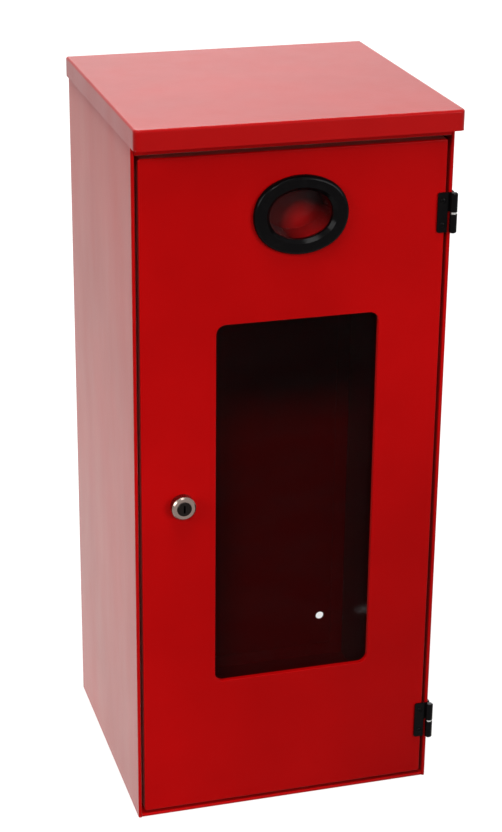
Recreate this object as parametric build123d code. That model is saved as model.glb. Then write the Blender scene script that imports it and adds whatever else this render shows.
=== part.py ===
from build123d import *
import math
import os

# Wall cabinet for a fire extinguisher: a folded sheet-steel box under an overhanging cover,
# with a flush door on two outside hinges, a long window, a small key box and a cam lock.
# X runs to the right along the front, Y to the back, Z up. The origin is the middle of the
# base on the floor. Millimetres.

# Overall
case_width = 300.0
case_depth = 270.0
cabinet_height = 700.0

# Sheet metal
sheet = 1.2
bend = 2.2
hem_width = 3.4
hem_bend = 1.6
hem_length = 12.0
back_flange = 15.0

# Cover
cover_rim = 19.0
cover_overhang = 21.0
cover_fit = 0.3
cover_corner = 6.0
cover_edge = 2.4
cover_return = 8.0

# Door frame inside the front opening
door_gap = 3.0
door_head = 31.5
door_depth = 15.0
stop_clearance = 5.0
stop_width = 18.0
stop_leg = 18.0
rail_flange = 15.0

# Door
door_lip = 12.0
door_corner = 2.2

# Window in the door
window_left_margin = 71.05
window_right_margin = 60.65
window_bottom_margin = 135.1
window_to_key_ring = 62.75
window_corner = 9.0
window_return = 5.0
pane_thickness = 3.0
pane_lap = 9.0
pane_side_clearance = 1.5
clip_width = 14.0
clip_foot = 9.0
clip_finger = 6.0
clips_per_side = 2

# Key box behind a small oval window in the door
key_box_drop = 60.0
bezel_width = 89.0
bezel_height = 73.5
bezel_flatness = 2.75
bezel_proud = 6.0
bezel_round = 3.6
bezel_bevel = 3.2
bezel_opening_width = 60.0
bezel_opening_height = 46.0
bezel_opening_flatness = 2.5
bezel_neck = 3.0
bezel_fit = 0.3
glass_thickness = 2.0
glass_lap = 3.0
cup_depth = 20.0
cup_rim = 7.0
cup_narrowing = 3.0

# Hinges on the right-hand front corner
upper_hinge_drop = 100.0
lower_hinge_z = 67.0
hinge_height = 38.0
knuckle_radius = 3.5
knuckle_chamfer = 1.0
hinge_axis_out = 0.2
hinge_axis_front = 4.0
leaf_thickness = 1.8
door_leaf_width = 11.0
case_leaf_width = 26.0
leaf_relief = 1.4
leaf_corner = 2.0
leaf_step = 0.6
pin_radius = 2.0
pin_seat_clearance = 0.02
pin_running_clearance = 0.05
washer_radius = 2.9
washer_thickness = 2.0
washer_clearance = 0.1
pin_end_wall = 2.5

# Cam lock
lock_inset = 38.5
lock_drop = 3.0
lock_head_radius = 11.5
lock_head_height = 9.0
lock_head_edge = 1.4
lock_body_radius = 9.0
lock_hole_fit = 0.3
lock_nut_flats = 24.0
lock_nut_thickness = 4.0
lock_nut_fit = 0.02
plug_radius = 7.0
plug_clearance = 0.05
plug_proud = 0.9
shank_side = 8.0
shank_fit = 0.05
cam_thickness = 2.0
cam_width = 16.0
cam_reach = 34.0
cam_clearance = 5.0
cam_gap = 0.3
tail_radius = 3.0
cam_nut_flats = 10.0
cam_nut_thickness = 3.0
tail_end = 1.0
keyway_width = 1.8
keyway_height = 8.0
keyway_depth = 6.0

# Rubber buffers that the closed door rests on
buffer_radius = 5.0
buffer_gap = 0.3
buffer_inset = 60.0

# Fixing holes in the back
fixing_side_inset = 27.5
fixing_end_inset = 50.0
fixing_radius = 4.5

# Planes that several pieces share
front_y = -case_depth / 2
back_y = case_depth / 2
side_x = case_width / 2
wall_top_z = cabinet_height - sheet
opening_x = side_x - hem_width
door_x = opening_x - door_gap
door_bottom_z = hem_width + door_gap
door_top_z = cabinet_height - door_head
door_width = 2 * door_x
door_height = door_top_z - door_bottom_z
door_z = (door_top_z + door_bottom_z) / 2
skin_back_y = front_y + sheet
door_back_y = front_y + door_depth
stop_y = door_back_y + stop_clearance
rail_bottom_z = door_top_z + door_gap
stop_top_z = rail_bottom_z - stop_width
inner_x = side_x - sheet
key_box_z = door_top_z - key_box_drop
window_bottom_z = door_bottom_z + window_bottom_margin
window_top_z = key_box_z - bezel_height / 2 - window_to_key_ring
window_width = door_width - window_left_margin - window_right_margin
window_height = window_top_z - window_bottom_z
window_shift = (window_left_margin - window_right_margin) / 2
window_z = (window_bottom_z + window_top_z) / 2
pane_y = front_y + window_return
upper_hinge_z = cabinet_height - upper_hinge_drop
hinge_x = side_x + hinge_axis_out
hinge_y = front_y - hinge_axis_front
cam_y = stop_y + sheet + cam_clearance
lock_x = -door_x + lock_inset
lock_z = door_z - lock_drop
fixing_spacing_x = case_width - 2 * fixing_side_inset
fixing_spacing_z = cabinet_height - 2 * fixing_end_inset


def folded(points, radii, side=Side.LEFT):
    """Face of a bent sheet whose outer line runs through the points."""
    line = FilletPolyline(*points, radius=radii)
    return make_face(offset(line, amount=sheet, side=side, closed=True))


def block(x0, x1, y0, y1, z0, z1):
    """Block between two corners."""
    return Pos((x0 + x1) / 2, (y0 + y1) / 2, (z0 + z1) / 2) * Box(x1 - x0, y1 - y0, z1 - z0)


def along_z(face, z0, z1):
    """Sheet profile drawn in XY, run from z0 to z1."""
    return Pos(0, 0, z0) * extrude(face, amount=z1 - z0, dir=(0, 0, 1))


def along_x(face, half):
    """Sheet profile drawn in YZ, run across the cabinet."""
    placed = Plane.YZ * face
    return Pos(-half, 0, 0) * extrude(placed, amount=2 * half, dir=(1, 0, 0))


def to_back(sketch, x, z, y0, y1):
    """Sketch drawn as seen from the front, run from y0 to y1."""
    plane = Plane(origin=(x, y0, z), x_dir=(1, 0, 0), z_dir=(0, -1, 0))
    return extrude(plane * sketch, amount=y1 - y0, dir=(0, 1, 0))


def rod(x, z, radius, y0, y1):
    """Round bar along Y."""
    return to_back(Circle(radius), x, z, y0, y1)


# Case

def make_left_wall():
    """Side sheet with a flange at the back and a rolled hem down the front edge."""
    outline = [
        (-side_x + back_flange, back_y - sheet),
        (-side_x, back_y - sheet),
        (-side_x, front_y),
        (-opening_x, front_y),
        (-opening_x, front_y + hem_length),
    ]
    return along_z(folded(outline, [bend, hem_bend, hem_bend]), 0, wall_top_z)


def make_back_panel():
    """Flat back sheet over the side flanges, with four fixing holes."""
    panel = block(-side_x + sheet, side_x - sheet, back_y - sheet, back_y, 0, wall_top_z)
    plane = Plane(origin=(0, back_y, cabinet_height / 2), x_dir=(-1, 0, 0), z_dir=(0, 1, 0))
    for spot in GridLocations(fixing_spacing_x, fixing_spacing_z, 2, 2):
        panel -= extrude(plane * spot * Circle(fixing_radius), amount=-sheet)
    return panel


def make_bottom_panel():
    """Floor sheet with a hemmed front edge and an upturned back flange, notched at the corners."""
    outline = [
        (back_y - sheet, back_flange),
        (back_y - sheet, 0),
        (front_y, 0),
        (front_y, hem_width),
        (front_y + hem_length, hem_width),
    ]
    panel = along_x(folded(outline, [bend, hem_bend, hem_bend], Side.RIGHT), inner_x)
    hem_end = front_y + hem_length
    flange_x = side_x - back_flange
    flange_y = back_y - sheet - bend
    for x0, x1 in ((-side_x, -opening_x), (opening_x, side_x)):
        panel -= block(x0, x1, front_y - 1, hem_end, -1, back_flange + 1)
    for x0, x1 in ((-side_x, -flange_x), (flange_x, side_x)):
        panel -= block(x0, x1, flange_y, back_y, -1, back_flange + 1)
    return panel


def make_top_cover():
    """Overhanging cover: a shallow tray turned over, open at the back, with a return under its front."""
    half_x = side_x + cover_fit + sheet
    y0 = front_y - cover_overhang
    z0 = cabinet_height - cover_rim
    outer = block(-half_x, half_x, y0, back_y, z0, cabinet_height)
    outer = fillet(outer.edges().filter_by(Axis.Z).group_by(Axis.Y)[0], cover_corner)
    bends = outer.faces().sort_by(Axis.Z)[-1].edges().filter_by_position(Axis.Y, y0, back_y - 1)
    outer = fillet(bends, cover_edge)
    inner = block(-half_x + sheet, half_x - sheet, y0 + sheet, back_y + 1, z0 - 1, wall_top_z)
    inner = fillet(inner.edges().filter_by(Axis.Z).group_by(Axis.Y)[0], cover_corner - sheet)
    under = block(-side_x, side_x, y0 + sheet, y0 + cover_return, z0, z0 + sheet)
    return outer - inner + under


def make_top_rail():
    """Front rail over the door: a flange to the cover, a strip, a soffit and the top door stop."""
    outline = [
        (front_y + rail_flange, wall_top_z),
        (front_y, wall_top_z),
        (front_y, rail_bottom_z),
        (stop_y, rail_bottom_z),
        (stop_y, stop_top_z),
    ]
    flange = folded(outline[:4], [bend, bend], Side.LEFT)
    drop = block(-opening_x, opening_x, stop_y, stop_y + sheet, stop_top_z, rail_bottom_z + sheet)
    return along_x(flange, opening_x) + drop


def make_left_stop():
    """Angle welded inside the wall, whose front face stops the door and takes the lock cam."""
    outline = [
        (-inner_x, stop_y + stop_leg),
        (-inner_x, stop_y),
        (-inner_x + stop_width, stop_y),
    ]
    return along_z(folded(outline, [bend], Side.LEFT), sheet, stop_top_z)


def make_bottom_stop():
    """Angle welded to the floor behind the door's lower edge."""
    outline = [
        (stop_y + stop_leg, sheet),
        (stop_y, sheet),
        (stop_y, sheet + stop_width),
    ]
    return along_x(folded(outline, [bend], Side.RIGHT), inner_x - stop_width)


def make_door_buffers():
    """Two rubber pads on the left stop that meet the closed door."""
    length = stop_clearance - buffer_gap
    x = -inner_x + stop_width - buffer_radius - bend
    pads = []
    for z in (door_bottom_z + buffer_inset, door_top_z - buffer_inset):
        pad = rod(x, z, buffer_radius, stop_y - length, stop_y)
        pads.append(chamfer(pad.edges().sort_by(Axis.Y)[0], length / 4))
    return Compound(pads)


# Door

def oval(width, height, flatness):
    """Oval of four arcs: the ends' radius is half the height less the flatness, with flatter arcs between."""
    half_w, half_h = width / 2, height / 2
    end_radius = half_h - flatness
    end_x = half_w - end_radius
    flat_radius = (end_x ** 2 + half_h ** 2 - end_radius ** 2) / (2 * flatness)
    flat_z = flat_radius - half_h
    reach = math.hypot(end_x, flat_z)
    x = flat_radius * end_x / reach
    z = flat_radius * flat_z / reach - flat_z
    arcs = [
        ThreePointArc((x, z), (0, half_h), (-x, z)),
        ThreePointArc((-x, z), (-half_w, 0), (-x, -z)),
        ThreePointArc((-x, -z), (0, -half_h), (x, -z)),
        ThreePointArc((x, -z), (half_w, 0), (x, z)),
    ]
    return make_face(Curve() + arcs)


def key_window(grow):
    """The key box's oval opening, or that outline grown all round."""
    return oval(bezel_opening_width + 2 * grow, bezel_opening_height + 2 * grow, bezel_opening_flatness)


def make_door_panel():
    """Welded door tray: a skin with returns and inner lips, a flanged window and two holes."""
    outer = block(-door_x, door_x, front_y, door_back_y, door_bottom_z, door_top_z)
    outer = fillet(outer.edges().filter_by(Axis.Y), door_corner)
    outer = fillet(outer.faces().sort_by(Axis.Y)[0].edges(), door_corner - sheet / 2)
    inside = block(-door_x + sheet, door_x - sheet, skin_back_y, door_back_y - sheet,
                   door_bottom_z + sheet, door_top_z - sheet)
    mouth = block(-door_x + door_lip, door_x - door_lip, skin_back_y, door_back_y + 1,
                  door_bottom_z + door_lip, door_top_z - door_lip)
    tray = outer - inside - mouth
    rim = RectangleRounded(window_width + 2 * sheet, window_height + 2 * sheet, window_corner + sheet)
    hole = RectangleRounded(window_width, window_height, window_corner)
    tray += to_back(rim, window_shift, window_z, skin_back_y, pane_y)
    tray -= to_back(hole, window_shift, window_z, front_y - 1, pane_y + 1)
    edge = [e for e in tray.edges()
            if abs(e.center().Y - front_y) < 0.01
            and abs(e.center().X - window_shift) < window_width / 2 + 0.1
            and abs(e.center().Z - window_z) < window_height / 2 + 0.1]
    tray = fillet(edge, sheet / 2)
    tray -= to_back(key_window(bezel_neck + bezel_fit), window_shift, key_box_z, front_y - 1, skin_back_y + 1)
    return tray - rod(lock_x, lock_z, lock_body_radius + lock_hole_fit, front_y - 1, skin_back_y + 1)


def make_window_pane():
    """Clear sheet behind the window, seated on its return."""
    shape = RectangleRounded(window_width + 2 * pane_lap, window_height + 2 * pane_lap, window_corner)
    return to_back(shape, window_shift, window_z, pane_y, pane_y + pane_thickness)


def pane_clip():
    """Bent clip drawn with its riser at x=0 and its finger towards +X, centred on z=0."""
    pane_back = pane_y + pane_thickness
    outline = [
        (-clip_foot, skin_back_y),
        (0, skin_back_y),
        (0, pane_back),
        (clip_finger + pane_side_clearance, pane_back),
    ]
    face = folded(outline, [sheet + 0.3, 0.3], Side.LEFT)
    return along_z(face, -clip_width / 2, clip_width / 2)


def make_pane_clips():
    """Clips on the door skin that hold the pane: two on each long side, one at each end."""
    clip = pane_clip()
    riser_x = window_width / 2 + pane_lap + pane_side_clearance
    riser_z = window_height / 2 + pane_lap + pane_side_clearance
    step = window_height / clips_per_side
    clips = []
    for i in range(clips_per_side):
        z = window_z + (i - (clips_per_side - 1) / 2) * step
        clips.append(Pos(window_shift - riser_x, 0, z) * clip)
        clips.append(Pos(window_shift + riser_x, 0, z) * mirror(clip, about=Plane.YZ))
    end_clip = Rot(0, 90, 0) * clip
    clips.append(Pos(window_shift, 0, window_z + riser_z) * end_clip)
    clips.append(Pos(window_shift, 0, window_z - riser_z) * mirror(end_clip, about=Plane.XY))
    return Compound(clips)


def make_key_bezel():
    """Oval ring with a rounded outer edge and a bevelled opening, whose neck passes through the door."""
    ring = to_back(oval(bezel_width, bezel_height, bezel_flatness), window_shift, key_box_z,
                   front_y - bezel_proud, front_y)
    ring = fillet(ring.faces().sort_by(Axis.Y)[0].edges(), bezel_round)
    ring += to_back(key_window(bezel_neck), window_shift, key_box_z, front_y - bezel_proud / 2, skin_back_y)
    ring -= to_back(key_window(0), window_shift, key_box_z, front_y - bezel_proud - 1, skin_back_y + 1)
    mouth = ring.faces().sort_by(Axis.Y)[0].inner_wires()[0].edges()
    return chamfer(mouth, bezel_bevel)


def make_key_glass():
    """Break-out glass between the ring's neck and the key cup."""
    return to_back(key_window(glass_lap), window_shift, key_box_z, skin_back_y, skin_back_y + glass_thickness)


def cup_form(wall, y0, y1):
    """Solid form of the cup, narrowing from its mouth to its floor, with a wall added all round."""
    mouth = Plane(origin=(window_shift, y0, key_box_z), x_dir=(1, 0, 0), z_dir=(0, -1, 0))
    floor = mouth.offset(y0 - y1)
    return loft([mouth * key_window(wall), floor * key_window(wall - cup_narrowing)], ruled=True)


def make_key_cup():
    """Pressed cup behind the glass, with a flat rim on the door skin."""
    glass_back = skin_back_y + glass_thickness
    seat = to_back(key_window(bezel_neck + cup_rim), window_shift, key_box_z, skin_back_y, glass_back + sheet)
    cup_floor_y = glass_back + cup_depth - sheet
    outer = cup_form(sheet, glass_back, cup_floor_y + sheet)
    inner = cup_form(0, glass_back, cup_floor_y)
    pocket = to_back(key_window(glass_lap + bezel_fit), window_shift, key_box_z, skin_back_y - 1, glass_back)
    return seat + outer - inner - pocket


# Hinges

def upright(x, y, radius, z0, z1):
    """Round bar along Z."""
    return Pos(x, y, (z0 + z1) / 2) * Cylinder(radius, z1 - z0)


def make_door_leaf(z):
    """Leaf on the door face with the upper knuckle, which turns on the pin."""
    low, high = z - hinge_height / 2, z + hinge_height / 2
    middle = z + washer_thickness / 2 + washer_clearance
    knuckle = upright(hinge_x, hinge_y, knuckle_radius, middle, high)
    knuckle = chamfer(knuckle.edges().sort_by(Axis.Z)[-1], knuckle_chamfer)
    relief_x = hinge_x - knuckle_radius - leaf_relief
    plate = block(hinge_x - knuckle_radius - door_leaf_width, hinge_x - knuckle_radius / 2,
                  front_y - leaf_thickness, front_y, low, high)
    plate = fillet(plate.edges().filter_by(Axis.Y).group_by(Axis.X)[0], leaf_corner)
    plate -= block(relief_x, hinge_x, front_y - leaf_thickness - 1, front_y + 1, low - 1, middle)
    plate -= block(door_x, hinge_x, front_y - leaf_step, front_y + 1, low - 1, high + 1)
    bore_top = high - pin_end_wall
    bore = upright(hinge_x, hinge_y, pin_radius + pin_running_clearance, middle - 1, bore_top)
    return plate + knuckle - bore


def make_case_leaf(z):
    """Leaf on the right wall with the lower knuckle, which holds the pin."""
    low, high = z - hinge_height / 2, z + hinge_height / 2
    middle = z - washer_thickness / 2
    knuckle = upright(hinge_x, hinge_y, knuckle_radius, low, middle)
    knuckle = chamfer(knuckle.edges().sort_by(Axis.Z)[0], knuckle_chamfer)
    relief_y = hinge_y + knuckle_radius + leaf_relief
    plate = block(side_x, side_x + leaf_thickness, hinge_y, hinge_y + case_leaf_width, low, high)
    plate = fillet(plate.edges().filter_by(Axis.X).group_by(Axis.Y)[-1], leaf_corner)
    plate -= block(side_x - 1, side_x + leaf_thickness + 1, hinge_y - 1, relief_y, middle, high + 1)
    bore_bottom = low + pin_end_wall
    bore = upright(hinge_x, hinge_y, pin_radius + pin_seat_clearance, bore_bottom, middle + 1)
    return plate + knuckle - bore


def make_hinge_pin(z):
    """Pin with the washer that the door knuckle turns on."""
    low = z - hinge_height / 2 + pin_end_wall
    high = z + hinge_height / 2 - pin_end_wall - 2 * washer_clearance
    washer_low = z - washer_thickness / 2
    pin = upright(hinge_x, hinge_y, pin_radius, low, high)
    return pin + upright(hinge_x, hinge_y, washer_radius, washer_low, washer_low + washer_thickness)


# Lock

def make_lock_housing():
    """Chromed housing: a flanged head on the door face and a body through it."""
    body_end = cam_y - cam_gap
    head = rod(lock_x, lock_z, lock_head_radius, front_y - lock_head_height, front_y)
    head = chamfer(head.edges().sort_by(Axis.Y)[0], lock_head_edge)
    body = rod(lock_x, lock_z, lock_body_radius, front_y, body_end)
    bore = rod(lock_x, lock_z, plug_radius + plug_clearance, front_y - lock_head_height - 1, body_end + 1)
    return head + body - bore


def make_lock_nut():
    """Hexagon nut that clamps the housing behind the skin."""
    hexagon = RegularPolygon(lock_nut_flats / 2, 6, major_radius=False)
    nut = to_back(hexagon, lock_x, lock_z, skin_back_y, skin_back_y + lock_nut_thickness)
    return nut - rod(lock_x, lock_z, lock_body_radius + lock_nut_fit, skin_back_y - 1,
                     skin_back_y + lock_nut_thickness + 1)


def make_lock_plug():
    """Turning plug: a keyway in front, a square shank for the cam and a tail for its nut."""
    front = front_y - lock_head_height - plug_proud
    shank_end = cam_y + cam_thickness - cam_gap
    tail = cam_y + cam_thickness + cam_nut_thickness + tail_end
    plug = rod(lock_x, lock_z, plug_radius, front, cam_y - cam_gap)
    plug = chamfer(plug.edges().sort_by(Axis.Y)[0], plug_proud / 2)
    plug += to_back(Rectangle(shank_side, shank_side), lock_x, lock_z, cam_y - cam_gap, shank_end)
    plug += rod(lock_x, lock_z, tail_radius, shank_end, tail)
    keyway = SlotOverall(keyway_height, keyway_width, rotation=90)
    return plug - to_back(keyway, lock_x, lock_z, front - 1, front + keyway_depth)


def make_lock_cam():
    """Cam plate that hangs down when unlocked and turns behind the left stop to lock."""
    swing = cam_reach - cam_width / 2
    shape = SlotCenterToCenter(swing, cam_width, rotation=90)
    plate = to_back(shape, lock_x, lock_z - swing / 2, cam_y, cam_y + cam_thickness)
    hole_side = shank_side + 2 * shank_fit
    hole = to_back(Rectangle(hole_side, hole_side), lock_x, lock_z, cam_y - 1, cam_y + cam_thickness + 1)
    return plate - hole


def make_cam_nut():
    """Nut on the plug's tail that holds the cam."""
    y0 = cam_y + cam_thickness
    hexagon = RegularPolygon(cam_nut_flats / 2, 6, major_radius=False)
    nut = to_back(hexagon, lock_x, lock_z, y0, y0 + cam_nut_thickness)
    return nut - rod(lock_x, lock_z, tail_radius + lock_nut_fit, y0 - 1, y0 + cam_nut_thickness + 1)


left_wall = make_left_wall()
left_stop = make_left_stop()

parts = {
    "left_wall": left_wall,
    "right_wall": mirror(left_wall, about=Plane.YZ),
    "back_panel": make_back_panel(),
    "bottom_panel": make_bottom_panel(),
    "top_cover": make_top_cover(),
    "top_rail": make_top_rail(),
    "left_stop": left_stop,
    "right_stop": mirror(left_stop, about=Plane.YZ),
    "bottom_stop": make_bottom_stop(),
    "door_buffers": make_door_buffers(),
    "door_panel": make_door_panel(),
    "window_pane": make_window_pane(),
    "pane_clips": make_pane_clips(),
    "key_bezel": make_key_bezel(),
    "key_glass": make_key_glass(),
    "key_cup": make_key_cup(),
    "upper_hinge_door_leaf": make_door_leaf(upper_hinge_z),
    "upper_hinge_case_leaf": make_case_leaf(upper_hinge_z),
    "upper_hinge_pin": make_hinge_pin(upper_hinge_z),
    "lower_hinge_door_leaf": make_door_leaf(lower_hinge_z),
    "lower_hinge_case_leaf": make_case_leaf(lower_hinge_z),
    "lower_hinge_pin": make_hinge_pin(lower_hinge_z),
    "lock_housing": make_lock_housing(),
    "lock_nut": make_lock_nut(),
    "lock_plug": make_lock_plug(),
    "lock_cam": make_lock_cam(),
    "cam_nut": make_cam_nut(),
}

os.makedirs("parts", exist_ok=True)
for name, shape in parts.items():
    export_step(shape, f"parts/{name}.step")
    print(name, round(shape.volume, 1))
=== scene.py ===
"""Looks of an upright cabinet for a fire extinguisher: paint, glass, hinges, lock and studio."""

import math

import bmesh
import bpy
from bpy.props import FloatProperty, FloatVectorProperty, PointerProperty
from mathutils import Euler, Matrix, Vector


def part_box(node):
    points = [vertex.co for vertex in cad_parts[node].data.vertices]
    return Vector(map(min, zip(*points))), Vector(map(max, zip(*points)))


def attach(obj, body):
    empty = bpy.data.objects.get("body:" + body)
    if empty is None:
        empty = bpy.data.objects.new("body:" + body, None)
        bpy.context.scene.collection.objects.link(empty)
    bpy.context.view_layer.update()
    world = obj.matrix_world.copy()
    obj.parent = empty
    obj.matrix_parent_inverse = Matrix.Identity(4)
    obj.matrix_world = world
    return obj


bl_info = {
    "name": "Extinguisher Cabinet",
    "version": (1, 0, 0),
    "blender": (4, 5, 0),
    "location": "3D View > Sidebar > Cabinet",
    "description": "Finishes, fasteners and studio for a sheet-metal extinguisher cabinet",
    "category": "Object",
}

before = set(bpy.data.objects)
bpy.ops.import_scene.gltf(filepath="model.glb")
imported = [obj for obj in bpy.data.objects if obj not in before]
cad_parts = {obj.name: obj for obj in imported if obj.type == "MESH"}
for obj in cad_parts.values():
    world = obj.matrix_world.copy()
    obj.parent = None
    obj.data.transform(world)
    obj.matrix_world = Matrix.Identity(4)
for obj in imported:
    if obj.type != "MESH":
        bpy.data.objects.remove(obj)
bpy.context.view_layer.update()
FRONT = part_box("door_panel")[0].y

# Half the thickness of the case's sheet. This and all other lengths are in metres.
HALF_SHEET = 0.0006

# Blotches of the powder coat: broad shade changes, fine mottling, and smears that run up and down.
SHADE_SIZE = 0.19
MOTTLE_SIZE = 0.012
SMEAR_SIZE = 0.05
SMEAR_STRETCH = (1.0, 1.0, 0.35)

# What the smoothest and the roughest smears add to the coat's roughness. With a lowest sum of 0.27
# a thin dark line showed on the left wall, and with 0.28 none shows.
SMEAR_ROUGHNESS = (-0.04, 0.09)
CLEAR_COAT_ROUGHNESS = 0.22

# Refractive indices of the black mouldings, the panes and the key cup, and how much a pane hides.
MOULDING_INDEX = 1.12
PANE_INDEX = 1.12
CUP_INDEX = 1.2
PANE_ALPHA = 0.12

# The painted shade at the door's lower right corner is full within the first distance of the corner, and
# ends at the second.
CORNER_SHADE_REACH = (0.02, 0.42)
CORNER_SHADE_STRETCH = (1.6, 1, 0.9)

# The painted lit patch of the key cup, with painted shade round it: its place from the cup's middle, its
# reach and its shape.
PATCH_OFFSET = (0.010, 0, -0.015)
PATCH_REACH = (0.005, 0.023)
PATCH_STRETCH = (1, 0.5, 1)

# Thickness of a pane clip, and the distance from its end to its screw.
CLIP_THICKNESS = 0.0012
CLIP_FOOT = 0.0045

# Thickness of a hinge leaf, and the distances of its screws from its ends and from its free edge.
LEAF_THICKNESS = 0.0018
SCREW_FROM_END = 0.0075
DOOR_SCREW_INSET = 0.0048
CASE_SCREW_INSET = 0.0095

# Half the outline of a screw's head, as parts of its radius and of its height.
SCREW_PROFILE = ((0, -0.2), (0.98, -0.2), (1, 0), (1, 0.25), (0.93, 0.55), (0.72, 0.83), (0.4, 0.97), (0, 1))
SHARP_ANGLE = math.radians(35)

# Turn of the screws' crosses in radians: at the floor, and what each metre of height adds.
CLIP_SCREW_TURN = (0.5, 23)
DOOR_SCREW_TURN = (0.4, 31)
CASE_SCREW_TURN = (0.9, 17)

# Name, level, azimuth, elevation and spread of each lamp. Angles in degrees.
LAMPS = (
    ("window_lamp", 0.27, -17, 36, 9),
    ("front_lamp", 0.62, 36, 9, 30),
    ("side_lamp", 0.60, -70, 24, 30),
    ("top_lamp", 0.72, -10, 78, 30),
    ("back_lamp", 0.60, 172, 38, 30),
)
LAMP_DISTANCE = 3

# Half the side of the floor, its place, and how far its full glow and its fading glow reach.
FLOOR_HALF = 9
FLOOR_PLACE = (0, 3, 0)
GLOW_REACH = (0.3, 2.4)

# The floor's colour for the light that it scatters back onto the cabinet.
BOUNCE_COLOUR = (0.12, 0.12, 0.12, 1)

CAMERA_PLACE = (-0.5382, -1.8399, 1.1531)
CAMERA_DEGREES = (67.509, -0.551, -16.088)
SENSOR_WIDTH = 36


# Settings


class CabinetPaint(bpy.types.PropertyGroup):
    """Colours and surface of the powder coat."""

    red: FloatVectorProperty(
        name="Red", description="Colour of the powder coat",
        subtype="COLOR", size=3, min=0, max=1, default=(0.41, 0.0012, 0.0016))
    deep_red: FloatVectorProperty(
        name="Deep red", description="Colour where the coat is thick or in shade",
        subtype="COLOR", size=3, min=0, max=1, default=(0.345, 0.0006, 0.0009))
    roughness: FloatProperty(
        name="Roughness", description="Roughness of the coat",
        subtype="FACTOR", min=0, max=1, default=0.32)
    gloss_index: FloatProperty(
        name="Gloss index", description="Refractive index of the coat, which sets its gloss",
        min=1.0, max=2.0, default=1.09)
    bloom: FloatProperty(
        name="Bloom", description="Pale bloom of the case's coat when seen at a slant",
        subtype="FACTOR", min=0, max=1, default=0.4)
    plain_bloom: FloatProperty(
        name="Plain bloom", description="Bloom of the coat on the door and on the right side",
        subtype="FACTOR", min=0, max=1, default=0.1)
    bloom_spread: FloatProperty(
        name="Bloom spread", description="How far the bloom reaches from the slant",
        subtype="FACTOR", min=0, max=1, default=0.25)
    bloom_tint: FloatVectorProperty(
        name="Bloom tint", description="Colour of the bloom",
        subtype="COLOR", size=3, min=0, max=1, default=(1.0, 0.84, 0.72))
    top_bloom: FloatProperty(
        name="Top bloom", description="Pale bloom of the cover's coat, where dust settles",
        subtype="FACTOR", min=0, max=1, default=0.05)
    top_bloom_spread: FloatProperty(
        name="Top bloom spread", description="How far the cover's bloom reaches from the slant",
        subtype="FACTOR", min=0, max=1, default=0.5)
    top_gloss_index: FloatProperty(
        name="Top gloss index", description="Refractive index of the cover's coat",
        min=1.0, max=2.0, default=1.12)
    top_tone: FloatProperty(
        name="Top tone", description="Depth of colour of the cover's coat",
        subtype="FACTOR", min=0, max=1, default=0.87)
    # Painted shade: the coat's colour is painted darker on the faces inside the case, by this factor.
    painted_inside_shade: FloatProperty(
        name="Inner tone", description="Depth of colour of the thinner coat inside the case",
        subtype="FACTOR", min=0, max=1, default=0.42)
    # Painted shade: how much darker the coat is painted towards the lower right corner of the door.
    painted_corner_shade: FloatProperty(
        name="Corner shade", description="How much darker the coat is at the lower right corner of the door",
        subtype="FACTOR", min=0, max=1, default=0.32)
    peel: FloatProperty(
        name="Peel size", description="Width of one dimple of the coat",
        unit="LENGTH", min=0.0005, max=0.02, default=0.0028)
    peel_depth: FloatProperty(
        name="Peel depth", description="Depth of the dimples",
        unit="LENGTH", min=0, max=0.001, default=0.00006)


class CabinetHardware(bpy.types.PropertyGroup):
    """Colours and sizes of the hinges, the lock and the fasteners."""

    black: FloatVectorProperty(
        name="Black", description="Colour of the hinges and of the oval ring",
        subtype="COLOR", size=3, min=0, max=1, default=(0.0022, 0.0019, 0.0021))
    chrome: FloatVectorProperty(
        name="Chrome", description="Colour of the lock",
        subtype="COLOR", size=3, min=0, max=1, default=(0.24, 0.18, 0.155))
    zinc: FloatVectorProperty(
        name="Zinc", description="Colour of the plated small parts",
        subtype="COLOR", size=3, min=0, max=1, default=(0.50, 0.50, 0.48))
    blackened: FloatVectorProperty(
        name="Blackened steel", description="Colour of the lock's plug",
        subtype="COLOR", size=3, min=0, max=1, default=(0.014, 0.011, 0.010))
    screw_radius: FloatProperty(
        name="Screw radius", description="Radius of the hinge screws' heads",
        unit="LENGTH", min=0.001, max=0.01, default=0.0026)
    screw_height: FloatProperty(
        name="Screw height", description="Height of the hinge screws' heads",
        unit="LENGTH", min=0.0003, max=0.005, default=0.0012)


class CabinetStudio(bpy.types.PropertyGroup):
    """Lamps, floor and camera."""

    floor: FloatVectorProperty(
        name="Floor", description="Colour of the floor",
        subtype="COLOR", size=3, min=0, max=1, default=(0.30, 0.30, 0.30))
    floor_glow: FloatProperty(
        name="Floor glow", description="Paleness of the floor in the shade",
        subtype="FACTOR", min=0, max=1, default=0.72)
    floor_fall: FloatProperty(
        name="Floor fall", description="Glow of the far floor in reflections, against the near floor",
        subtype="FACTOR", min=0, max=1, default=0.5)
    level: FloatProperty(
        name="Level", description="Strength of all the lamps", min=0, max=4, default=1.0)
    ambient: FloatProperty(
        name="Ambient", description="Strength of the light from all round",
        subtype="FACTOR", min=0, max=1, default=0.02)
    lens: FloatProperty(
        name="Lens", description="Focal length of the camera",
        unit="CAMERA", min=20, max=300, default=90.02)


# Shaders


def set_inputs(node, **values):
    """Sets named inputs of a node. An underscore stands for a space of the name."""
    for name, value in values.items():
        node.inputs[name.replace("_", " ")].default_value = value


def feed(tree, node, **outputs):
    """Links outputs to named inputs of a node. An underscore stands for a space of the name."""
    for name, output in outputs.items():
        tree.links.new(output, node.inputs[name.replace("_", " ")])


def shader_node(tree, kind, **values):
    """New node of the tree, with the values of its named inputs."""
    made = tree.nodes.new(kind)
    set_inputs(made, **values)
    return made


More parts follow.
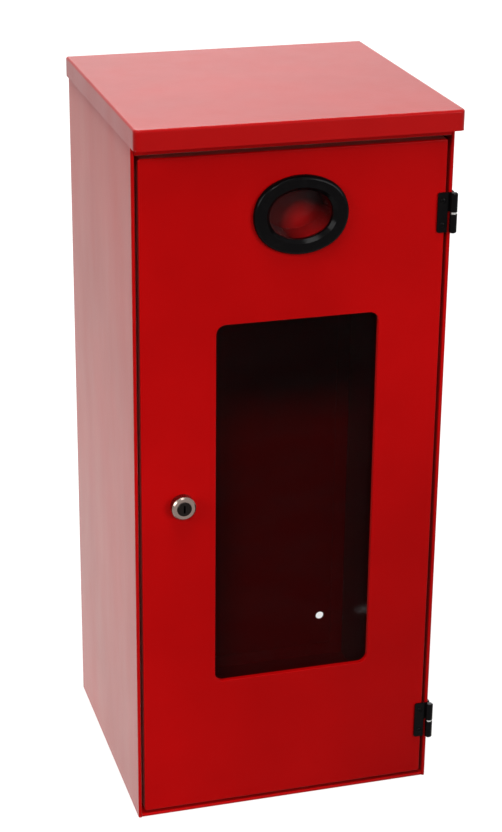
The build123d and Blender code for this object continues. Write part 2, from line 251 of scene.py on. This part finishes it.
def new_finish(name):
    """Material with its tree, its main shader and the object's own coordinates."""
    material = bpy.data.materials.new(name)
    material.use_nodes = True
    tree = material.node_tree
    coordinates = tree.nodes.new("ShaderNodeTexCoord")
    return material, tree, tree.nodes["Principled BSDF"], coordinates.outputs["Object"]


def speckle(tree, place, size, detail=2.0, roughness=0.5, stretch=(1, 1, 1)):
    """Noise whose blotches are about the given size, as a factor from 0 to 1."""
    mapping = shader_node(tree, "ShaderNodeMapping", Scale=stretch)
    feed(tree, mapping, Vector=place)
    noise = shader_node(tree, "ShaderNodeTexNoise", Scale=1 / size, Detail=detail, Roughness=roughness)
    feed(tree, noise, Vector=mapping.outputs["Vector"])
    return noise.outputs["Fac"]


def blend_range(tree, factor, low, high, start=0.0, end=1.0):
    """Factor that goes from low to high while another goes from start to end."""
    spread = shader_node(
        tree, "ShaderNodeMapRange", From_Min=start, From_Max=end, To_Min=low, To_Max=high)
    feed(tree, spread, Value=factor)
    return spread.outputs["Result"]


def blend_colours(tree, factor, first, second):
    """Colour between two, by a factor."""
    mix = tree.nodes.new("ShaderNodeMix")
    mix.data_type = "RGBA"
    for socket, colour in ((mix.inputs["A"], first), (mix.inputs["B"], second)):
        if isinstance(colour, bpy.types.NodeSocket):
            tree.links.new(colour, socket)
        else:
            socket.default_value = (*colour, 1)
    feed(tree, mix, Factor=factor)
    return mix.outputs["Result"]


def scaled_colour(tree, colour, *factors):
    """Colour times some factors, each a number or an output."""
    for factor in factors:
        scaled = tree.nodes.new("ShaderNodeVectorMath")
        scaled.operation = "SCALE"
        tree.links.new(colour, scaled.inputs[0])
        if isinstance(factor, bpy.types.NodeSocket):
            feed(tree, scaled, Scale=factor)
        else:
            set_inputs(scaled, Scale=factor)
        colour = scaled.outputs[0]
    return colour


def combined(tree, operation, first, second):
    """Result of a math node on two factors."""
    node = tree.nodes.new("ShaderNodeMath")
    node.operation = operation
    tree.links.new(first, node.inputs[0])
    tree.links.new(second, node.inputs[1])
    return node.outputs[0]


def emboss(tree, shader, height, depth):
    """Raises the surface of a shader by a height factor times a depth."""
    bump = shader_node(tree, "ShaderNodeBump", Strength=1.0, Distance=depth)
    feed(tree, bump, Height=height)
    feed(tree, shader, Normal=bump.outputs["Normal"])


def near_point(tree, place, point, reach, stretch=(1, 1, 1)):
    """Factor that is 1 up to the first distance from a point, and 0 from the second on."""
    last = place
    for operation, value in (("SUBTRACT", point), ("MULTIPLY", stretch), ("LENGTH", None)):
        step = tree.nodes.new("ShaderNodeVectorMath")
        step.operation = operation
        if value is not None:
            step.inputs[1].default_value = value
        tree.links.new(last, step.inputs[0])
        last = step.outputs[0]
    inner, outer = reach
    return blend_range(tree, step.outputs["Value"], 1.0, 0.0, start=inner, end=outer)


def within(tree, value, low, high):
    """Factor that is 1 where a coordinate lies between two limits."""
    test = tree.nodes.new("ShaderNodeMath")
    test.operation = "COMPARE"
    test.inputs[1].default_value = (low + high) / 2
    test.inputs[2].default_value = (high - low) / 2
    tree.links.new(value, test.inputs[0])
    return test.outputs[0]


def inside_case(tree, place):
    """Factor that is 1 on the faces inside the case, behind the door."""
    low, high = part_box("left_wall")[0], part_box("right_wall")[1]
    limits = (
        (low.x + HALF_SHEET, high.x - HALF_SHEET),
        (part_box("left_stop")[0].y - HALF_SHEET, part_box("back_panel")[1].y - HALF_SHEET),
        (low.z + HALF_SHEET, high.z - HALF_SHEET),
    )
    split = tree.nodes.new("ShaderNodeSeparateXYZ")
    tree.links.new(place, split.inputs[0])
    across, along, up = (within(tree, axis, *limit) for axis, limit in zip(split.outputs, limits))
    return combined(tree, "MULTIPLY", combined(tree, "MULTIPLY", across, along), up)


def powder_coat(settings, name, bloom, bloom_spread, gloss_index, tone_scale=1.0):
    """Semi-gloss red powder coat with fine dimples, broad shade changes and painted shade inside and at a
    corner.
    """
    material, tree, shader, place = new_finish(name)
    shade = speckle(tree, place, SHADE_SIZE, detail=3, roughness=0.55)
    tone = blend_range(tree, shade, 0.0, 1.0, start=0.35, end=0.65)
    body = blend_colours(tree, tone, settings.deep_red, settings.red)
    mottle = blend_range(tree, speckle(tree, place, MOTTLE_SIZE), 0.0, 0.2, start=0.3, end=0.9)
    mottled = blend_colours(tree, mottle, body, settings.deep_red)
    # Painted shade on the faces inside the case.
    inside_shade_factor = blend_range(tree, inside_case(tree, place), 1.0, settings.painted_inside_shade)
    # Painted shade, darker towards the lower right corner of the door.
    corner = (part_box("door_panel")[1].x, FRONT, 0)
    painted_corner_shade = blend_range(
        tree, near_point(tree, place, corner, CORNER_SHADE_REACH, CORNER_SHADE_STRETCH), 1.0, 1 - settings.painted_corner_shade)
    smear = speckle(tree, place, SMEAR_SIZE, detail=3, stretch=SMEAR_STRETCH)
    low, high = (settings.roughness + change for change in SMEAR_ROUGHNESS)
    feed(
        tree, shader,
        Base_Color=scaled_colour(tree, mottled, inside_shade_factor, painted_corner_shade, tone_scale),
        Roughness=blend_range(tree, smear, low, high, start=0.25, end=0.8))
    set_inputs(
        shader, IOR=gloss_index,
        Coat_Weight=1, Coat_IOR=gloss_index, Coat_Roughness=CLEAR_COAT_ROUGHNESS,
        Sheen_Weight=bloom, Sheen_Roughness=bloom_spread, Sheen_Tint=(*settings.bloom_tint, 1))
    dimples = speckle(tree, place, settings.peel, detail=1, roughness=0.4)
    emboss(tree, shader, dimples, settings.peel_depth)
    return material


def gloss_black(settings, name, roughness):
    """Glossy black moulding with faint handling marks."""
    material, tree, shader, place = new_finish(name)
    set_inputs(shader, IOR=MOULDING_INDEX)
    haze = speckle(tree, place, 0.006, detail=4, roughness=0.6)
    lift = tuple(c * 1.8 + 0.0008 for c in settings.black)
    marks = blend_range(tree, haze, 0.0, 0.5, start=0.5, end=0.8)
    feed(
        tree, shader,
        Base_Color=blend_colours(tree, marks, settings.black, lift),
        Roughness=blend_range(tree, haze, roughness - 0.05, roughness + 0.10, start=0.35, end=0.7))
    emboss(tree, shader, speckle(tree, place, 0.0016, detail=1, roughness=0.4), depth=0.00002)
    return material


def plated(colour, name, roughness, grain=(1, 1, 1), grain_size=0.0012):
    """Plated metal with fine rubbing marks along the grain."""
    material, tree, shader, place = new_finish(name)
    set_inputs(shader, Metallic=1)
    marks = speckle(tree, place, grain_size, detail=3, roughness=0.6, stretch=grain)
    dull = tuple(c * 0.78 for c in colour)
    rubbed = blend_range(tree, marks, 0.0, 0.6, start=0.4, end=0.75)
    feed(
        tree, shader,
        Base_Color=blend_colours(tree, rubbed, colour, dull),
        Roughness=blend_range(tree, marks, roughness - 0.04, roughness + 0.14, start=0.3, end=0.75))
    emboss(tree, shader, marks, depth=0.000012)
    return material


def clear_pane(name, tint):
    """Clear sheet with faint wiping marks."""
    material, tree, shader, place = new_finish(name)
    set_inputs(shader, IOR=PANE_INDEX)
    marks = speckle(tree, place, 0.03, detail=5, roughness=0.7, stretch=(0.6, 1.0, 1.6))
    wiped = blend_range(tree, marks, 0.0, 0.4, start=0.4, end=0.7)
    pale = tuple(min(1, c * 1.5 + 0.01) for c in tint)
    feed(
        tree, shader,
        Base_Color=blend_colours(tree, wiped, tint, pale),
        Roughness=blend_range(tree, marks, 0.03, 0.12, start=0.4, end=0.7),
        Alpha=blend_range(tree, marks, PANE_ALPHA * 0.85, PANE_ALPHA * 1.15, start=0.4, end=0.7))
    return material


def soft_rubber(name):
    """Matt black rubber with a slight bloom."""
    material, tree, shader, place = new_finish(name)
    bloom = speckle(tree, place, 0.003, detail=4, roughness=0.65)
    feed(
        tree, shader,
        Base_Color=blend_colours(tree, bloom, (0.010, 0.010, 0.010), (0.035, 0.034, 0.033)),
        Roughness=blend_range(tree, bloom, 0.6, 0.85, start=0.3, end=0.7))
    emboss(tree, shader, speckle(tree, place, 0.0008), depth=0.00004)
    return material


def moulded_red(name):
    """Glossy red plastic of the key cup, with a painted lit patch and painted shade towards its rim."""
    material, tree, shader, place = new_finish(name)
    set_inputs(shader, IOR=CUP_INDEX)
    swirl = speckle(tree, place, 0.02, detail=3, roughness=0.55)
    swirled = blend_colours(tree, swirl, (0.44, 0.0025, 0.003), (0.58, 0.004, 0.005))
    low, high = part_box("key_cup")
    lit = (low + high) / 2 + Vector(PATCH_OFFSET)
    painted_patch = near_point(tree, place, (lit.x, high.y, lit.z), PATCH_REACH, PATCH_STRETCH)
    # Painted light and shade: the colour is full in the lit patch and falls to 0.12 of it towards the rim.
    feed(
        tree, shader,
        Base_Color=scaled_colour(tree, swirled, blend_range(tree, painted_patch, 0.12, 1.0)),
        Roughness=blend_range(tree, swirl, 0.14, 0.26, start=0.35, end=0.7))
    emboss(tree, shader, speckle(tree, place, 0.004, detail=1, roughness=0.4), depth=0.00004)
    return material


def finish_nodes(material, *names):
    """Gives CAD nodes their finish."""
    for name in names:
        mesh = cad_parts[name].data
        mesh.materials.clear()
        mesh.materials.append(material)


# Small pieces


def new_piece(name, mesh, material, body):
    """Object of a mesh that rides on a body and takes the given material."""
    mesh.materials.clear()
    mesh.materials.append(material)
    piece = bpy.data.objects.new(name, mesh)
    bpy.context.scene.collection.objects.link(piece)
    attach(piece, body)
    return piece


def lathed(profile, steps=32):
    """Closed surface turned about Z from (radius, height) points, whose ends lie on the axis."""
    surface = bmesh.new()
    step = 2 * math.pi / steps
    rings = []
    for radius, height in profile:
        if radius == 0:
            rings.append([surface.verts.new((0, 0, height))])
            continue
        rings.append([surface.verts.new((radius * math.cos(i * step), radius * math.sin(i * step), height))
                      for i in range(steps)])
    for low, high in zip(rings, rings[1:]):
        for i in range(steps):
            j = (i + 1) % steps
            corners = (low[i % len(low)], low[j % len(low)], high[j % len(high)], high[i % len(high)])
            surface.faces.new(list(dict.fromkeys(corners)))
    bmesh.ops.recalc_face_normals(surface, faces=surface.faces)
    return surface


def mesh_of(surface, name):
    """Mesh from a surface, which is freed."""
    mesh = bpy.data.meshes.new(name)
    surface.to_mesh(mesh)
    surface.free()
    return mesh


def screw_head(radius, height):
    """Domed screw head on z=0 with a cross recess."""
    surface = lathed([(radius * across, height * up) for across, up in SCREW_PROFILE])
    head = bpy.data.objects.new("screw_head", mesh_of(surface, "screw_head"))
    cutter = bmesh.new()
    size = Matrix.Diagonal((radius * 1.15, radius * 0.24, height * 1.1, 1))
    lift = Matrix.Translation((0, 0, height * 0.95))
    for angle in (0, math.pi / 2):
        bmesh.ops.create_cube(cutter, size=1, matrix=Matrix.Rotation(angle, 4, "Z") @ lift @ size)
    tool = bpy.data.objects.new("cross_recess", mesh_of(cutter, "cross_recess"))
    for made in (head, tool):
        bpy.context.scene.collection.objects.link(made)
    cut = head.modifiers.new("cut", "BOOLEAN")
    cut.object = tool
    cut.operation = "DIFFERENCE"
    cut.use_self = True
    bpy.context.view_layer.update()
    graph = bpy.context.evaluated_depsgraph_get()
    done = bpy.data.meshes.new_from_object(head.evaluated_get(graph))
    for made in (head, tool):
        bpy.data.objects.remove(made)
    return done


def many_of(mesh, places, name):
    """One mesh from copies of another, each at a matrix."""
    joined = bmesh.new()
    for place in places:
        start = len(joined.verts)
        joined.from_mesh(mesh)
        joined.verts.ensure_lookup_table()
        bmesh.ops.transform(joined, matrix=place, verts=joined.verts[start:])
    done = mesh_of(joined, name)
    for face in done.polygons:
        face.use_smooth = True
    done.set_sharp_from_angle(angle=SHARP_ANGLE)
    return done


def screw_place(point, direction, turn):
    """Matrix that puts z=0 at a point, with +Z along a direction and a turn that grows with height."""
    base, rise = turn
    aim = Vector(direction).to_track_quat("Z", "Y").to_matrix().to_4x4()
    return Matrix.Translation(point) @ aim @ Matrix.Rotation(base + rise * point[2], 4, "Z")


# Operators


class CABINET_OT_coat(bpy.types.Operator):
    """Coat the case and the door in red"""

    bl_idname = "cabinet.coat"
    bl_label = "Powder coat"

    def execute(self, context):
        paint = context.scene.cabinet_paint
        coat = powder_coat(paint, "red_powder_coat", paint.bloom, paint.bloom_spread, paint.gloss_index)
        finish_nodes(coat, "left_wall", "back_panel", "bottom_panel", "top_rail", "left_stop", "bottom_stop")
        plain = powder_coat(
            paint, "plain_powder_coat", paint.plain_bloom, paint.bloom_spread, paint.gloss_index)
        finish_nodes(plain, "right_wall", "right_stop", "door_panel")
        cover = powder_coat(
            paint, "cover_powder_coat", paint.top_bloom, paint.top_bloom_spread,
            paint.top_gloss_index, paint.top_tone)
        finish_nodes(cover, "top_cover")
        return {"FINISHED"}


class CABINET_OT_glazing(bpy.types.Operator):
    """Glaze the window and fix its clips"""

    bl_idname = "cabinet.glazing"
    bl_label = "Window pane and clips"

    def execute(self, context):
        hardware = context.scene.cabinet_hardware
        finish_nodes(clear_pane("window_sheet", tint=(0.004, 0.004, 0.004)), "window_pane")
        zinc = plated(hardware.zinc, "clip_zinc", 0.28, grain=(1, 1, 3), grain_size=0.002)
        finish_nodes(zinc, "pane_clips")
        pane_low, pane_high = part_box("window_pane")
        low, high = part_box("pane_clips")
        middle = (pane_low + pane_high) / 2
        row = (pane_high.z - pane_low.z) / 4 - CLIP_FOOT
        face = low.y + CLIP_THICKNESS
        spots = [(x, middle.z + side * row)
                 for x in (low.x + CLIP_FOOT, high.x - CLIP_FOOT) for side in (-1, 1)]
        spots += [(middle.x, low.z + CLIP_FOOT), (middle.x, high.z - CLIP_FOOT)]
        head = screw_head(hardware.screw_radius * 0.85, hardware.screw_height)
        places = [screw_place((x, face, z), (0, 1, 0), CLIP_SCREW_TURN) for x, z in spots]
        new_piece("clip_screws", many_of(head, places, "clip_screws"), zinc, "door")
        return {"FINISHED"}


class CABINET_OT_key_box(bpy.types.Operator):
    """Finish the oval key box: ring, glass and cup"""

    bl_idname = "cabinet.key_box"
    bl_label = "Key box"

    def execute(self, context):
        finish_nodes(gloss_black(context.scene.cabinet_hardware, "ring_black", 0.14), "key_bezel")
        finish_nodes(clear_pane("key_glass_sheet", tint=(0.006, 0.006, 0.006)), "key_glass")
        finish_nodes(moulded_red("cup_red"), "key_cup")
        return {"FINISHED"}


class CABINET_OT_hinges(bpy.types.Operator):
    """Finish the hinges and drive their screws"""

    bl_idname = "cabinet.hinges"
    bl_label = "Hinges"

    def execute(self, context):
        hardware = context.scene.cabinet_hardware
        black = gloss_black(hardware, "hinge_black", 0.2)
        finish_nodes(black, "upper_hinge_door_leaf", "upper_hinge_case_leaf",
                     "lower_hinge_door_leaf", "lower_hinge_case_leaf")
        finish_nodes(plated(hardware.zinc, "pin_steel", 0.2), "upper_hinge_pin", "lower_hinge_pin")
        head = screw_head(hardware.screw_radius, hardware.screw_height)
        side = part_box("right_wall")[1].x + LEAF_THICKNESS
        door_places, case_places = [], []
        for hinge in ("upper_hinge", "lower_hinge"):
            low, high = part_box(f"{hinge}_door_leaf")
            for z in (low.z + SCREW_FROM_END, high.z - SCREW_FROM_END):
                point = (low.x + DOOR_SCREW_INSET, FRONT - LEAF_THICKNESS, z)
                door_places.append(screw_place(point, (0, -1, 0), DOOR_SCREW_TURN))
            low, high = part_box(f"{hinge}_case_leaf")
            for z in (low.z + SCREW_FROM_END, high.z - SCREW_FROM_END):
                point = (side, high.y - CASE_SCREW_INSET, z)
                case_places.append(screw_place(point, (1, 0, 0), CASE_SCREW_TURN))
        for name, places, body in (("hinge_door_screws", door_places, "door"),
                                   ("hinge_case_screws", case_places, "cabinet")):
            new_piece(name, many_of(head, places, name), black, body)
        return {"FINISHED"}


class CABINET_OT_lock(bpy.types.Operator):
    """Finish the cam lock"""

    bl_idname = "cabinet.lock"
    bl_label = "Cam lock"

    def execute(self, context):
        hardware = context.scene.cabinet_hardware
        finish_nodes(plated(hardware.chrome, "lock_chrome", 0.18), "lock_housing")
        finish_nodes(plated(hardware.blackened, "plug_steel", 0.3), "lock_plug")
        zinc = plated(hardware.zinc, "cam_zinc", 0.3, grain=(1, 1, 4), grain_size=0.002)
        finish_nodes(zinc, "lock_nut", "lock_cam", "cam_nut")
        return {"FINISHED"}


class CABINET_OT_buffers(bpy.types.Operator):
    """Finish the rubber buffers on the door stop"""

    bl_idname = "cabinet.buffers"
    bl_label = "Door buffers"

    def execute(self, context):
        finish_nodes(soft_rubber("buffer_rubber"), "door_buffers")
        return {"FINISHED"}


def seen_directly(tree):
    """Factor that is 1 for what the camera, reflections and glass see, and 0 for light that scatters."""
    path = tree.nodes.new("ShaderNodeLightPath")
    total = path.outputs["Is Camera Ray"]
    for name in ("Is Glossy Ray", "Is Transmission Ray"):
        total = combined(tree, "MAXIMUM", total, path.outputs[name])
    return total


def floor_paper(settings):
    """White paper that looks pale to the camera and darkens in the cabinet's shadow."""
    material = bpy.data.materials.new("floor_paper")
    material.use_nodes = True
    tree = material.node_tree
    tree.nodes.remove(tree.nodes["Principled BSDF"])
    paper = shader_node(tree, "ShaderNodeBsdfDiffuse", Color=(*settings.floor, 1))
    glow = shader_node(tree, "ShaderNodeEmission", Color=(1, 1, 1, 1))
    place = tree.nodes.new("ShaderNodeNewGeometry")
    near = near_point(tree, place.outputs["Position"], (0, 0, 0), GLOW_REACH)
    path = tree.nodes.new("ShaderNodeLightPath")
    fall = combined(tree, "MAXIMUM", blend_range(tree, near, settings.floor_fall, 1.0),
                    path.outputs["Is Camera Ray"])
    feed(tree, glow, Strength=blend_range(tree, fall, 0.0, settings.floor_glow))
    pale = tree.nodes.new("ShaderNodeAddShader")
    tree.links.new(paper.outputs[0], pale.inputs[0])
    tree.links.new(glow.outputs[0], pale.inputs[1])
    dim = shader_node(tree, "ShaderNodeBsdfDiffuse", Color=BOUNCE_COLOUR)
    mix = tree.nodes.new("ShaderNodeMixShader")
    feed(tree, mix, Fac=seen_directly(tree))
    tree.links.new(dim.outputs[0], mix.inputs[1])
    tree.links.new(pale.outputs[0], mix.inputs[2])
    feed(tree, tree.nodes["Material Output"], Surface=mix.outputs[0])
    return material


def studio_floor(settings):
    """Large pale floor that keeps the cabinet's shadow."""
    sheet = bmesh.new()
    bmesh.ops.create_grid(sheet, x_segments=8, y_segments=8, size=FLOOR_HALF)
    mesh = mesh_of(sheet, "floor")
    mesh.materials.append(floor_paper(settings))
    floor = bpy.data.objects.new("floor", mesh)
    floor.location = FLOOR_PLACE
    bpy.context.scene.collection.objects.link(floor)


def studio_world(settings):
    """White surroundings, which give only a little light of their own."""
    world = bpy.data.worlds.new("studio")
    bpy.context.scene.world = world
    world.use_nodes = True
    tree = world.node_tree
    background = tree.nodes["Background"]
    set_inputs(background, Color=(1, 1, 1, 1))
    feed(tree, background, Strength=blend_range(tree, seen_directly(tree), settings.ambient, 1.0))


def far_lamp(name, level, azimuth, elevation, spread):
    """Even light from far away: azimuth 0 is straight in front and 90 on the right."""
    data = bpy.data.lights.new(name, "SUN")
    data.energy = math.pi * level
    data.angle = math.radians(spread)
    lamp = bpy.data.objects.new(name, data)
    side, rise = math.radians(azimuth), math.radians(elevation)
    toward = Vector((math.sin(side) * math.cos(rise), -math.cos(side) * math.cos(rise), math.sin(rise)))
    lamp.rotation_euler = toward.to_track_quat("Z", "Y").to_euler()
    lamp.location = toward * LAMP_DISTANCE
    bpy.context.scene.collection.objects.link(lamp)


def studio_camera(settings):
    """Camera at the photograph's angle."""
    data = bpy.data.cameras.new("camera")
    data.sensor_fit = "AUTO"
    data.sensor_width = SENSOR_WIDTH
    data.lens = settings.lens
    camera = bpy.data.objects.new("camera", data)
    camera.location = CAMERA_PLACE
    camera.rotation_euler = Euler([math.radians(angle) for angle in CAMERA_DEGREES])
    bpy.context.scene.collection.objects.link(camera)
    bpy.context.scene.camera = camera


class CABINET_OT_studio(bpy.types.Operator):
    """Set up the floor, the lamps and the camera"""

    bl_idname = "cabinet.studio"
    bl_label = "Studio"

    def execute(self, context):
        studio = context.scene.cabinet_studio
        studio_camera(studio)
        studio_floor(studio)
        studio_world(studio)
        for name, level, azimuth, elevation, spread in LAMPS:
            far_lamp(name, level * studio.level, azimuth, elevation, spread)
        context.scene.view_settings.view_transform = "Standard"
        return {"FINISHED"}


class CABINET_PT_sidebar(bpy.types.Panel):
    """Cabinet tools in the sidebar"""

    bl_idname = "CABINET_PT_sidebar"
    bl_label = "Cabinet"
    bl_space_type = "VIEW_3D"
    bl_region_type = "UI"
    bl_category = "Cabinet"

    def draw(self, context):
        column = self.layout.column()
        for group_name in GROUPS:
            group = getattr(context.scene, group_name)
            for name in group.bl_rna.properties.keys():
                if name not in ("rna_type", "name"):
                    column.prop(group, name)
        for operator in OPERATORS:
            column.operator(operator.bl_idname)


OPERATORS = (
    CABINET_OT_studio,
    CABINET_OT_coat,
    CABINET_OT_glazing,
    CABINET_OT_key_box,
    CABINET_OT_hinges,
    CABINET_OT_lock,
    CABINET_OT_buffers,
)
GROUPS = {
    "cabinet_paint": CabinetPaint,
    "cabinet_hardware": CabinetHardware,
    "cabinet_studio": CabinetStudio,
}


def register():
    for group in GROUPS.values():
        bpy.utils.register_class(group)
    for name, group in GROUPS.items():
        setattr(bpy.types.Scene, name, PointerProperty(type=group))
    for made in (*OPERATORS, CABINET_PT_sidebar):
        bpy.utils.register_class(made)


def unregister():
    for made in (CABINET_PT_sidebar, *reversed(OPERATORS)):
        bpy.utils.unregister_class(made)
    for name in GROUPS:
        delattr(bpy.types.Scene, name)
    for group in reversed(GROUPS.values()):
        bpy.utils.unregister_class(group)


def main():
    register()
    for operator in OPERATORS:
        group, name = operator.bl_idname.split(".")
        getattr(getattr(bpy.ops, group), name)()


if __name__ == "__main__":
    main()
